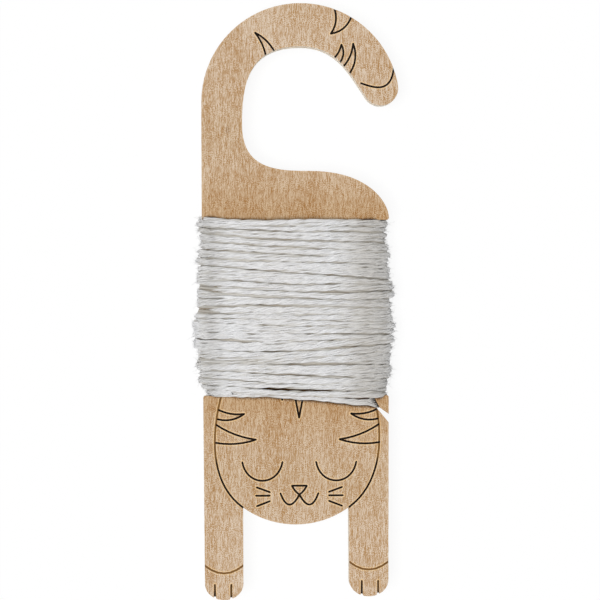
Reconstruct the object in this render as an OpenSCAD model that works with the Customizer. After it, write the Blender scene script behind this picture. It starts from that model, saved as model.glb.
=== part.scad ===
// Flat plywood bobbin in the shape of a stretching cat, wound with white six-strand floss.
// It lies on its back: +X to the cat's left paw, +Y from the feet to the tail, +Z out of the face.
// The origin is the middle of the outline, on the surface that the winding rests on.

/* [Plywood] */
// Width of the plate at its upper shoulders
shoulder_w = 25.1; // [23:0.1:28]
// Width of the plate across both feet
foot_w = 24.6; // [22.5:0.1:27.5]
// Thickness of each face veneer
face_ply = 0.9; // [0.5:0.05:1.5]
// Thickness of the cross-grained middle veneer
core_ply = 1.2; // [0.6:0.05:2]

/* [Legs] */
// Width of the gap between the front legs
leg_gap = 14.2; // [12:0.1:16]
// Sideways place of that gap on the plate
leg_gap_x = -0.05; // [-0.5:0.05:0.5]
// Length of a leg from its foot to the fork beside the chin
leg_len = 12.4; // [9:0.1:16]
// Height of the half oval that ends a foot
foot_round = 2.2; // [1.2:0.1:2.6]
// How much shorter the right-hand leg is
leg_step = 0.4; // [0:0.05:1]
// Width and depth of the notch that parts two toes
toe_notch = 0.3; // [0.15:0.05:0.5]
// How far the chin hangs below the fork
chin_drop = 2.3; // [1:0.1:4]

/* [Head] */
// Height from the fork to the lower shoulders
head_h = 15; // [13:0.1:18]
// Width of the scored outline of the head
head_w = 22.1; // [20:0.1:22.6]
// Sideways place of the head's outline on the plate
head_x = 0.2; // [-0.2:0.05:0.3]
// Sideways place of the eyes, nose and mouth
face_x = 0.4; // [-0.4:0.05:0.6]
// Width of a closed eye
eye_w = 5.4; // [4:0.05:6]
// Depth of a closed eye's arc
eye_drop = 2.55; // [1.5:0.05:3]
// Distance between the two eyes' inner corners
eye_gap = 4.5; // [3.5:0.1:6]
// Width of the nose
nose_w = 2; // [1.4:0.1:2.6]
// Height of the nose
nose_h = 1.2; // [0.8:0.05:1.6]
// Width of one half of the mouth
mouth_w = 2.55; // [1.8:0.05:3]
// Length of a whisker
whisker_len = 1.9; // [1.2:0.1:2.4]

/* [Waist] */
// Height of the waist that the floss is wound on
waist_h = 23.5; // [18:0.1:28]
// Width of the waist
waist_w = 21.8; // [18:0.1:22]
// Rounding of the shoulders' corners
shoulder_r = 0.3; // [0.1:0.05:0.8]

/* [Tail] */
// Height of the back above the upper shoulders
back_h = 6.6; // [4:0.1:9]
// Height of the hook's opening
mouth_h = 16.7; // [14.5:0.1:18]
// Width of the tail at the top of the hook
crown_w = 5.8; // [4.5:0.1:7.5]
// Width of the tail's upright stem
stem_w = 5.45; // [4.5:0.05:6.5]
// Outer radius of the hook
hook_r = 13.3; // [12.6:0.1:14]
// Radius of the tail's tip
tip_r = 2.35; // [2:0.05:3]
// Direction from the hook's centre to the tip's centre, in degrees
tip_angle = 10; // [6:0.5:16]

/* [Slit] */
// Depth of the slit's mouth below the lower shoulders
slit_down = 3.1; // [2.7:0.1:5]
// Width of the slit's open mouth at the plate's edge
slit_mouth = 1.15; // [0.8:0.05:1.6]
// Width of the narrow kerf that grips the floss
kerf_w = 0.35; // [0.3:0.05:0.6]
// Depth of the wide mouth, measured across the plate
mouth_in = 1.35; // [1:0.05:1.7]
// Width of wood left between the kerf's end and the side of the waist
kerf_land = 0.85; // [0.7:0.05:1.3]
// Height of the kerf's end above the lower shoulders
kerf_rise = 0.1; // [-0.4:0.05:0.4]

/* [Engraving] */
// Width of a scored line
score_w = 0.26; // [0.12:0.02:0.4]
// Width of the bolder lines on the tail
tail_score_w = 0.26; // [0.12:0.02:0.5]
// Depth of the dark, deeply scored lines
score_d = 0.2; // [0.1:0.05:0.45]
// Depth of the lighter lines round the head and across the paws
light_d = 0.1; // [0.05:0.05:0.3]

/* [Floss] */
// Thickness of floss on each face of the plate
floss_t = 2.4; // [1.6:0.1:3.5]
// Width of the winding at its two ends
wind_end_w = 25.2; // [24:0.1:27]
// Width of the winding where it is fullest
wind_mid_w = 27.2; // [25.2:0.1:29]
// Height of the fullest place, as a part of the waist
wind_full_at = 0.4; // [0.3:0.05:0.7]
// Sideways place of the winding on the waist
wind_x = -0.25; // [-0.5:0.05:0.5]
// Radius of the winding's bend round the plate's edges
wind_bend_r = 3.1; // [2.6:0.1:3.3]
// Diameter of the wound floss
turn_d = 0.74; // [0.5:0.02:0.74]
// Least distance from one turn of the outer layer to the next
turn_pitch = 1.14; // [1.14:0.01:2]
// Distance from a shoulder to the middle of the nearest turn
turn_in = 0.6; // [0.5:0.05:1]
// Clearance between the outer turns and the floss below them
turn_clear = 0.04; // [0.02:0.01:0.1]
// Clearance between the floss and the walls of the kerf
kerf_clear = 0.02; // [0.01:0.01:0.05]
// Length of the loose end behind the head
tail_len = 6; // [3:0.5:9]

/* [Hidden] */
birch = [0.80, 0.69, 0.55];
birch_core = [0.72, 0.58, 0.42];
white = [0.90, 0.90, 0.89];

// Heights on the plate, measured up from the left-hand foot
y_fork = leg_len;
y_low = y_fork + head_h;
y_up = y_low + waist_h;
y_back = y_up + back_h;
y_crown = y_back + mouth_h;
y_top = y_crown + crown_w;

plate_t = face_ply * 2 + core_ply;
hook_c = [hook_r - shoulder_w / 2, y_top - hook_r];
tip_c = hook_c + (hook_r - tip_r) * [cos(tip_angle), sin(tip_angle)];

// The plate's half width at a height below its upper shoulders
function half_w(y) = (foot_w + (shoulder_w - foot_w) * y / y_up) / 2;
// The inner edge, the middle and the width of the leg on one side, at the foot
function leg_in(side) = leg_gap_x + side * leg_gap / 2;
function leg_x(side) = (side * foot_w / 2 + leg_in(side)) / 2;
function leg_w(side) = abs(side * foot_w / 2 - leg_in(side));
function foot_y(side) = side > 0 ? leg_step : 0;

// ---- Curves ----
arc_steps = 8;
curve_steps = 18;

function arc(c, r, a0, a1, n = arc_steps) =
    [for (i = [0:n]) let (a = a0 + (a1 - a0) * i / n) c + [r * cos(a), r * sin(a)]];
function oval(c, rx, ry, a0, a1, n = arc_steps) =
    [for (i = [0:n]) let (a = a0 + (a1 - a0) * i / n) c + [rx * cos(a), ry * sin(a)]];
function cubic(a, b, c, d, n = curve_steps) =
    [for (i = [0:n]) let (t = i / n, s = 1 - t)
        s * s * s * a + 3 * s * s * t * b + 3 * s * t * t * c + t * t * t * d];
// A quarter turn from p, which it leaves upright, to q, which it meets level; f and g are its fullness
function quarter(p, q, f, g) =
    cubic(p, [p[0], p[1] + f * (q[1] - p[1])], [q[0] + g * (p[0] - q[0]), q[1]], q);
// A rounded corner at b between the directions to a and c
function corner(a, b, c, r) =
    let (u = (a - b) / norm(a - b), v = (c - b) / norm(c - b), h = acos(u * v) / 2)
    let (o = b + (u + v) / norm(u + v) * r / sin(h), p = b + u * r / tan(h), q = b + v * r / tan(h))
    let (a0 = atan2(p[1] - o[1], p[0] - o[0]), a1 = atan2(q[1] - o[1], q[0] - o[0]))
    let (turn = a1 - a0, way = turn > 180 ? turn - 360 : turn < -180 ? turn + 360 : turn)
    arc(o, r, a0, a0 + way, 4);
function reversed(p) = [for (i = [len(p) - 1:-1:0]) p[i]];
function mirrored(p) = [for (q = p) [-q[0], q[1]]];
function polar(c, r, a) = c + [r * cos(a), r * sin(a)];

// ---- The plate's outline ----
chin_half = leg_gap / 2;
chin_r = (chin_half * chin_half + chin_drop * chin_drop) / (2 * chin_drop);
chin_a = asin(chin_half / chin_r);

function foot(side) =
    oval([leg_x(side), foot_y(side) + foot_round], leg_w(side) / 2, foot_round, 180, 360, 20);
function shoulders(side) =
    let (out_up = [side * half_w(y_up), y_up], in_up = [side * waist_w / 2, y_up])
    let (in_low = [side * waist_w / 2, y_low], out_low = [side * half_w(y_low), y_low])
    concat(
        corner([out_low[0], 0], out_low, in_low, shoulder_r),
        [in_low, in_up],
        corner(in_up, out_up, [out_up[0], y_back], shoulder_r));

// Where the hook's inner edge runs level along the back, and where it is at its highest
back_flat = [1.5, 2];
crown_x = 0.7;
// Height above the back at which the inner edge stands upright, and its slope at the tip
wall_h = 6.2;
tip_slope = 57;
// How far the inner edge runs on in its own direction at the crown and at the tip
crown_reach = 4.8;
tip_reach = 4.3;
// Fullness of the back, of the corner between back and stem, and of the stem's turn to the crown
back_full = [0.3, 0.76];
nook_full = [0.89, 0.56];
crown_full = [0.54, 0.88];
stem_x = stem_w - shoulder_w / 2;
tip_in = polar(tip_c, tip_r, 270 - tip_slope);

hook_edge = concat(
    quarter([half_w(y_up), y_up + shoulder_r], [back_flat[1], y_back], back_full[0], back_full[1]),
    reversed(quarter([stem_x, y_back + wall_h], [back_flat[0], y_back], nook_full[0], nook_full[1])),
    quarter([stem_x, y_back + wall_h], [crown_x, y_crown], crown_full[0], crown_full[1]),
    cubic([crown_x, y_crown], [crown_x + crown_reach, y_crown],
        tip_in + tip_reach * [-cos(tip_slope), sin(tip_slope)], tip_in),
    arc(tip_c, tip_r, 270 - tip_slope, 360 + tip_angle, 12),
    arc(hook_c, hook_r, tip_angle, 180, 48));

outline = concat(
    foot(-1),
    arc([leg_gap_x, y_fork - chin_drop + chin_r], chin_r, 270 - chin_a, 270 + chin_a, 24),
    foot(1),
    shoulders(1),
    hook_edge,
    reversed(shoulders(-1)));

// The slit: a wide mouth in the plate's edge that narrows to a kerf
slit_y = y_low - slit_down;
slit_edge = half_w(slit_y);
neck = [slit_edge - mouth_in, slit_y + mouth_in];
kerf_end = [waist_w / 2 - kerf_land, y_low + kerf_rise];
kerf_dir = (kerf_end - neck) / norm(kerf_end - neck);
kerf_side = [kerf_dir[1], -kerf_dir[0]] * kerf_w / 2;
lip = [0, slit_mouth / 2];

// The line from a to b, run on by its own length past the plate's edge
function beyond(a, b) = 2 * b - a;
module slit() {
    polygon([
        beyond(neck - kerf_side, [slit_edge, slit_y] - lip),
        beyond(neck + kerf_side, [slit_edge, slit_y] + lip),
        neck + kerf_side,
        kerf_end + kerf_side,
        kerf_end - kerf_side,
        neck - kerf_side]);
}

// The toes: how far their lines lie from the leg's middle, and how far that middle is turned out
toe_x = 1.1;
toe_out = 0.15;
// A notch's half width and depth at its blunt tip, as parts of its size at the foot's edge
notch_tip = [0.35, 0.7];

// The small notches that part the toes, cut into the ends of both feet
function toe_at(side, toe) = leg_x(side) + side * toe_out + toe * toe_x;
function toe_end(side, x) =
    foot_y(side) + foot_round - foot_round * sqrt(1 - pow(2 * (x - leg_x(side)) / leg_w(side), 2));
module toe_notches() {
    for (side = [-1, 1], toe = [-1, 1]) {
        x = toe_at(side, toe);
        y = toe_end(side, x);
        tip = toe_notch * notch_tip;
        polygon([[x - toe_notch, y - toe_notch], [x + toe_notch, y - toe_notch],
            [x + tip[0], y + tip[1]], [x - tip[0], y + tip[1]]]);
    }
}

module plate_shape() {
    difference() {
        polygon(outline);
        slit();
        toe_notches();
    }
}

// ---- Scored lines ----
// A line of even width w along the points, with pointed ends
function along(p, i) = p[min(i + 1, len(p) - 1)] - p[max(i - 1, 0)];
function beside(p, i, d) = let (t = along(p, i) / norm(along(p, i))) p[i] + d * [-t[1], t[0]];
module score(p, w = score_w) {
    last = len(p) - 1;
    start = p[0] - along(p, 0) / norm(along(p, 0)) * w / 2;
    end = p[last] + along(p, last) / norm(along(p, last)) * w / 2;
    polygon(concat(
        [start],
        [for (i = [0:last]) beside(p, i, -w / 2)],
        [end],
        [for (i = [last:-1:0]) beside(p, i, w / 2)]));
}
// A bowed line from a tip to a root; the bow is how far its middle stands to the left
stripe_steps = 6;
function bowed(a, b, bow) =
    let (d = (b - a) / norm(b - a), m = (a + b) / 2 + 2 * bow * [-d[1], d[0]])
    [for (i = [0:stripe_steps]) let (t = i / stripe_steps, s = 1 - t)
        s * s * a + 2 * s * t * m + t * t * b];

// The hook's inner and outer edges as radii about its centre, and the inner one nearer the tip
inner_r = 7.4;
outer_r = hook_r - 0.05;
low_r = 7.72;
// Tail stripes, as a tip and a root about that centre, each a radius and an angle, and a bow
tail_stripes = [
    [11.15, 123, inner_r, 128, 0.26], [11.15, 123, inner_r, 117, 0.32],
    [10.05, 66, outer_r, 69.5, -0.4], [10.05, 66, outer_r, 59, -0.5],
    [9.5, 54.5, inner_r, 52.5, 0.15], [9.5, 54.5, inner_r, 45, 0.4],
    [10.6, 48, inner_r, 39.5, 0.3], [10.6, 48, low_r, 30.5, 0.5]];
// The curved line that closes the tail's tip, from the tip's centre
tip_line = [[-2.68, 0.65], [-0.2, -0.28], [1.55, -0.45], [1.8, 3.15]];
module tail_scores() {
    for (s = tail_stripes)
        score(bowed(polar(hook_c, s[0], s[1]), polar(hook_c, s[2], s[3]), s[4]), tail_score_w);
    translate(tip_c)
        score(cubic(tip_line[0], tip_line[1], tip_line[2], tip_line[3]), tail_score_w);
}

// The head's side: how far it draws in under the winding, how far its curve swings out on the
// way down and how far below the shoulders, and the direction in which it meets the fork
head_top_in = 0.83;
head_swing = 0.5;
head_fall = 5;
head_to_fork = [4.6, 3.3];
// Cheek stripes, measured in from the head's side and down from the lower shoulders: tip, root, bow
cheek_stripes = [
    [[3.9, 2.45], [0.45, 1.9], -0.26], [[3.9, 2.45], [0.3, 3.15], -0.43],
    [[5.45, 5.9], [0.15, 3.9], -0.33], [[5.45, 5.9], [0.05, 6.3], -0.35]];
module head_scores() {
    for (side = [-1, 1]) {
        fork = [leg_in(side), y_fork];
        score(cubic([head_x + side * (head_w / 2 - head_top_in), y_low],
            [head_x + side * (head_w / 2 + head_swing), y_low - head_fall],
            fork + [side * head_to_fork[0], head_to_fork[1]], fork));
    }
}
module cheek_scores() {
    cheek = [head_w / 2, y_low];
    translate([head_x, 0])
        for (s = cheek_stripes) {
            stripe = bowed(cheek - s[0], cheek - s[1], s[2]);
            score(stripe);
            score(mirrored(stripe));
        }
}

// Heights of the eyes' corners and of the nose's point above the fork
eye_y = 6.1;
nose_y = 1.7;
// How far the nose's slanting sides bow
nose_bow = 0.1;
// An eye's arc: how far in from its corners it bends, as a part of its width, and the fullness below
eye_bend = 0.11;
eye_full = 1.32;
// Half of the mouth: two handles and the corner, as parts of its width across and in mm down
mouth_curve = [[-0.2, -0.9], [-0.6, -2.6], [-1, 0.2]];
// Whiskers: place beside the nose's point and slope, from the top one down
whisker_x = 3.95;
whiskers = [[0.35, 20], [-0.12, 0], [-0.85, -21]];
// Forehead stripes: their points, across from the nose and down from the shoulders, and how far
// they lean over on the way up to where the winding hides them
brow_stripes = [[[0, 3], -0.65], [[0, 3], 0.65], [[-2.25, 0.6], -0.35]];
brow_under = 0.4;
module face_scores() {
    eye_handle = [eye_w * (1 / 2 - eye_bend), -eye_drop * eye_full];
    eye = cubic([-eye_w / 2, 0], [-eye_handle[0], eye_handle[1]], eye_handle, [eye_w / 2, 0]);
    mouth_points = [for (q = mouth_curve) [q[0] * mouth_w, q[1]]];
    mouth = cubic([0, 0], mouth_points[0], mouth_points[1], mouth_points[2]);
    translate([face_x, y_fork]) {
        for (side = [-1, 1])
            translate([side * (eye_gap + eye_w) / 2, eye_y])
                score(eye);
        translate([0, nose_y]) {
            score([[-nose_w / 2, nose_h], [nose_w / 2, nose_h]]);
            score(mouth);
            score(mirrored(mouth));
            nose_side = bowed([nose_w / 2, nose_h], [0, 0], nose_bow);
            score(nose_side);
            score(mirrored(nose_side));
            for (w = whiskers) {
                from = [whisker_x, w[0]];
                line = [from, from + whisker_len * [cos(w[1]), sin(w[1])]];
                score(line);
                score(mirrored(line));
            }
        }
        translate([0, head_h])
            for (s = brow_stripes)
                score([[s[0][0], -s[0][1]], [s[0][0] + s[1], brow_under]]);
    }
}

// The paws: the height and dip of the arc across each leg, and the top of the two toe lines
paw_y = 4.65;
paw_dip = 1.05;
toe_top = 2.1;
module paw_scores() {
    for (side = [-1, 1])
        translate([leg_x(side), foot_y(side) + paw_y]) {
            half = [leg_w(side) / 2, 0];
            score(bowed(-half, half, -paw_dip));
        }
}
module toe_scores() {
    for (side = [-1, 1], toe = [-1, 1])
        translate([toe_at(side, toe), foot_y(side)])
            score([[0, toe_top], [0, 0]]);
}

// ---- The winding ----
// Each loop has 24 places: five round each bend and two along each face
sides = 6;
loop = 24;
flat = cos(180 / sides) * turn_d / 2;
under_cut = turn_d / 10;
bend_r = min(wind_bend_r, plate_t / 2 + floss_t - under_cut);
mid_z = plate_t / 2 + floss_t - under_cut;

// Half width of the winding's outer surface at a height
function swell(y) =
    let (t = (y - y_low) / waist_h)
    let (u = t < wind_full_at ? t / wind_full_at : (1 - t) / (1 - wind_full_at))
    (wind_end_w + (wind_mid_w - wind_end_w) * sin(90 * max(0, min(1, u)))) / 2;

// One loop of the winding a depth d inside its outer surface, from the back round by -X to the front
function section(w, d) =
    let (a = w - d, b = plate_t / 2 + floss_t - d, r = bend_r - d, x = a - r, z = b - r)
    concat(
        [[-x / 3, -b]],
        arc([-x, -z], r, 270, 180, 4), arc([-x, z], r, 180, 90, 4),
        [[-x / 3, b], [x / 3, b]],
        arc([x, z], r, 90, 0, 4), arc([x, -z], r, 0, -90, 4),
        [[x / 3, -b]]);

// How far round the loop each place lies, from 0 to 1
mean_loop = section((wind_end_w + wind_mid_w) / 4, flat);
function run(p, i) = i == 0 ? 0 : run(p, i - 1) + norm(p[i % len(p)] - p[i - 1]);
loop_len = run(mean_loop, loop);
share = [for (i = [0:loop - 1]) run(mean_loop, i) / loop_len];

// The outer layer goes down the waist, as many turns as fit, and leaves it at the bend before the front
leave = 10;
turns = floor((waist_h - 2 * turn_in) / turn_pitch - share[leave]);
pitch = (waist_h - 2 * turn_in) / (turns + share[leave]);
function turn_y(k) = y_up - turn_in - pitch * (floor(k / loop) + share[k % loop]);
function turn_at(k) =
    let (y = turn_y(k), p = section(swell(y), flat)[k % loop]) [p[0] + wind_x, y, p[1]];
function unit(v) = v / norm(v);
turn_last = turns * loop + leave;
turn_line = [for (k = [0:turn_last]) turn_at(k)];
// Both ends run straight for one diameter
turn_path = concat(
    [turn_line[0] + turn_d * unit(turn_line[0] - turn_line[1])],
    turn_line,
    [turn_line[turn_last] + turn_d * [1, 0, 0]]);

// Rings of n points round a path; sizes holds [across, along Y, twist] for each ring
function heading(p, i) = unit(p[min(i + 1, len(p) - 1)] - p[max(i - 1, 0)]);
function ring(p, i, size, n) =
    let (t = heading(p, i), v = unit([0, 1, 0] - t[1] * t), u = cross(t, v))
    [for (k = [0:n - 1])
        let (a = 360 * (k + 0.5) / n, c = size[0] * cos(a), s = size[1] * sin(a), w = size[2])
        p[i] + u * (c * cos(w) - s * sin(w)) + v * (c * sin(w) + s * cos(w))];
// Triangles of a closed tube of m rings with n points each
function tube_faces(m, n) = concat(
    [for (i = [0:m - 2], k = [0:n - 1]) [i * n + k, i * n + (k + 1) % n, (i + 1) * n + k]],
    [for (i = [0:m - 2], k = [0:n - 1])
        [i * n + (k + 1) % n, (i + 1) * n + (k + 1) % n, (i + 1) * n + k]],
    [for (k = [1:n - 2]) [0, k + 1, k]],
    [for (k = [1:n - 2]) let (e = (m - 1) * n) [e, e + k, e + k + 1]]);

turn_size = [turn_d / 2, turn_d / 2, 0];
turn_rings = [for (i = [0:len(turn_path) - 1])
    [for (q = ring(turn_path, i, turn_size, sides)) [q[0], q[1], max(q[2], -mid_z)]]];
// The least gap between one turn's points and those of the next
turn_gap = min([for (i = [1:len(turn_rings) - loop - 3])
    min([for (step = [-1:1], a = turn_rings[i], b = turn_rings[i + loop + step]) norm(a - b)])]);
echo(least_gap_between_turns = turn_gap);

// The floss under the outer layer, as rings of one loop each from shoulder to shoulder
core_in = 2 * flat + turn_clear;
core_rows = 8;
core_rings = [for (j = [0:core_rows])
    let (y = y_low + waist_h * j / core_rows)
    [for (q = section(swell(y), core_in)) [q[0] + wind_x, y, q[1]]]];
// The waist's four corners at each end, in the order of the loop's four bends
waist_corners = [for (y = [y_low, y_up], c = [[-1, -1], [-1, 1], [1, 1], [1, -1]])
    [c[0] * waist_w / 2, y, c[1] * plate_t / 2]];
core_last = core_rows * loop;
hole = core_last + loop;
// The waist's corner that a place on the loop looks at
function bend_of(i) = floor((i % loop) / (loop / 4));
core_faces = concat(
    [for (j = [0:core_rows - 1], i = [0:loop - 1]) let (e = j * loop, k = (i + 1) % loop)
        each [[e + i, e + loop + i, e + k], [e + k, e + loop + i, e + loop + k]]],
    [for (i = [0:loop - 1]) let (k = (i + 1) % loop) each [
        [i, k, hole + bend_of(i)],
        [core_last + k, core_last + i, hole + 4 + bend_of(i)]]],
    [for (c = [0:3]) let (d = (c + 1) % 4, k = (loop / 4 * (c + 1)) % loop) each [
        [k, hole + d, hole + c],
        [core_last + k, hole + 4 + c, hole + 4 + d],
        [hole + c, hole + d, hole + 4 + c],
        [hole + d, hole + 4 + d, hole + 4 + c]]]);

// The end: from the last turn across the front, down through the kerf, and away behind the head
end_sides = 8;
// Where the floss goes down into the kerf, how far it leans over it, and where it bends in
grip = neck + kerf_dir * kerf_w * 1.5;
front_z = plate_t / 2 + turn_d / 2;
lean = 0.5;
over = [grip[0] - 3 * lean, grip[1] + lean / 2, front_z + 0.15];
// Handles of the stretch across the front: it rides on the floss below it, then comes down
ride = [7, -0.9, 0.15];
come_down = [-5.5, 0.5, 0.7];
// Height past each face at which the floss is flattened for the kerf
pinch = 0.12;
// Direction of the loose end behind the head, and the places of its rings along it
tail_angle = 222;
tail_rings = [0.12, 0.34, 0.56, 0.78, 1];

start = turn_path[len(turn_path) - 1];
straight = start + [turn_d, 0, 0];
behind = [grip[0], grip[1], -front_z - turn_clear];
end_path = concat(
    [start],
    cubic(straight, straight + ride, [over[0], over[1], start[2]] + come_down, over, 12),
    [[grip[0] - lean, grip[1] + lean / 6, front_z]],
    [for (z = [1, 0, -1]) [grip[0], grip[1], z * (plate_t / 2 + pinch)]],
    [for (t = tail_rings) behind + t * tail_len * [cos(tail_angle), sin(tail_angle), 0]]);
end_round = [turn_d / 2, turn_d / 2, 0];
end_flat = [kerf_w / 2 - kerf_clear, turn_d * 0.75, atan2(kerf_dir[1], kerf_dir[0]) - 90];
// The three flattened rings come just before those of the loose end
first_flat = len(end_path) - len(tail_rings) - 3;
function end_size(i) = i < first_flat || i > first_flat + 2 ? end_round : end_flat;
end_rings = [for (i = [0:len(end_path) - 1]) ring(end_path, i, end_size(i), end_sides)];

module tube(rings) {
    n = len(rings[0]);
    polyhedron([for (r = rings, q = r) q], tube_faces(len(rings), n));
}

// ---- Sub-parts ----
// Everything is drawn about the plate's mid plane and its feet, then moved to the origin
left_x = wind_x - wind_mid_w / 2;
right_x = tip_c[0] + tip_r;
module placed() {
    translate([-(left_x + right_x) / 2, -y_top / 2, mid_z])
        children();
}

// Cuts its flat lines a depth d into the front face
module engrave(d) {
    translate([0, 0, plate_t / 2 - d])
        linear_extrude(d * 2)
            children();
}

module ply(z, t) {
    translate([0, 0, z])
        linear_extrude(t)
            plate_shape();
}

module front_veneer() {
    color(birch)
        placed()
            difference() {
                ply(core_ply / 2, face_ply);
                engrave(score_d) {
                    tail_scores();
                    cheek_scores();
                    face_scores();
                    toe_scores();
                }
                engrave(light_d) {
                    head_scores();
                    paw_scores();
                }
            }
}

module core_veneer() {
    color(birch_core)
        placed()
            ply(-core_ply / 2, core_ply);
}

module back_veneer() {
    color(birch)
        placed()
            ply(-plate_t / 2, face_ply);
}

module floss_core() {
    color(white)
        placed()
            polyhedron(concat([for (r = core_rings, q = r) q], waist_corners), core_faces);
}

module floss_turns() {
    color(white)
        placed()
            tube(turn_rings);
}

module floss_end() {
    color(white)
        placed()
            tube(end_rings);
}

front_veneer();
core_veneer();
back_veneer();
floss_core();
floss_turns();
floss_end();
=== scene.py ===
"""A flat plywood bobbin in the shape of a stretching cat, wound with white six-strand floss.

The CAD frame holds the three veneers, which stay and get their birch here, and the winding,
which is drawn again strand by strand. Everything is worked out in millimetres and made in metres.
"""
import math

import bpy
import numpy as np
from mathutils import Matrix, Quaternion, Vector


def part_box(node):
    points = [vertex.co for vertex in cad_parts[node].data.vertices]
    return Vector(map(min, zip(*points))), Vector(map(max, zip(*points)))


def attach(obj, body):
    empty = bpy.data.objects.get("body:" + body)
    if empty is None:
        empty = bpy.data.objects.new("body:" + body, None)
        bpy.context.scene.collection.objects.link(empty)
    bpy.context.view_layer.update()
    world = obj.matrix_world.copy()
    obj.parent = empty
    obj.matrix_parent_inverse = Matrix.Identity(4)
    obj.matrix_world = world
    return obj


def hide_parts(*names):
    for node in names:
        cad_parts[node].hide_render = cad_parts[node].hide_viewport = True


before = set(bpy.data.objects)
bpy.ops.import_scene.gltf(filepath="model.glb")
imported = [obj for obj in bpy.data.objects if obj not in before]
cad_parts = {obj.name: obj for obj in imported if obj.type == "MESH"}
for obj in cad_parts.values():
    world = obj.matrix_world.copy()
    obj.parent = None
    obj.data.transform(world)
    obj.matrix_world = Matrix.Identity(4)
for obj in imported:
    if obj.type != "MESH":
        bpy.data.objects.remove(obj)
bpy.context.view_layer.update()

MM = 0.001
BODY = "root"


def box_mm(name):
    """The lowest and highest corners of a CAD node, in millimetres."""
    return [np.array(corner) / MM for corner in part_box(name)]


# ---- Places taken from the frame ----
FACE_Z = box_mm("front_veneer")[1][2]
BACK_Z = box_mm("back_veneer")[0][2]
MID_Z = (FACE_Z + BACK_Z) / 2
WAIST_LOW, WAIST_HIGH = (corner[1] for corner in box_mm("floss_core"))
WOUND_TOP = box_mm("floss_turns")[1][2]

# ---- Camera, mm ----
# It looks down on the face from a little to the left, as far off as a product lens stands
CAMERA_HEIGHT = 435
CAMERA_LEFT = 14
VIEW_WIDTH = 80.4
VIEW_CENTRE = (0.56, 0.19)
VIEW_ROLL = 0.22
SENSOR = 36
NEAREST, FARTHEST = 10, 10000


def make_camera():
    """The photograph's view: nearly square on to the face, the cat upright."""
    data = bpy.data.cameras.new("camera")
    data.sensor_width = SENSOR
    data.lens = SENSOR * CAMERA_HEIGHT / VIEW_WIDTH
    data.clip_start, data.clip_end = NEAREST * MM, FARTHEST * MM
    camera = bpy.data.objects.new("camera", data)
    target = Vector((*VIEW_CENTRE, FACE_Z))
    place = target + Vector((-CAMERA_LEFT, 0, CAMERA_HEIGHT))
    ahead = (target - place).normalized()
    right = ahead.cross(Vector((0, 1, 0))).normalized()
    upright = Matrix((right, right.cross(ahead), -ahead)).transposed().to_quaternion()
    camera.rotation_mode = "QUATERNION"
    camera.rotation_quaternion = upright @ Quaternion((0, 0, 1), -math.radians(VIEW_ROLL))
    camera.location = place * MM
    bpy.context.scene.collection.objects.link(camera)
    bpy.context.scene.camera = camera


# ---- Materials ----
def rgb(red, green, blue):
    """A colour as an image shows it, 0 to 255, in the linear values that a shader takes."""
    return [((c / 255 + 0.055) / 1.055) ** 2.4 if c > 10 else c / 255 / 12.92
            for c in (red, green, blue)] + [1]


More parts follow.
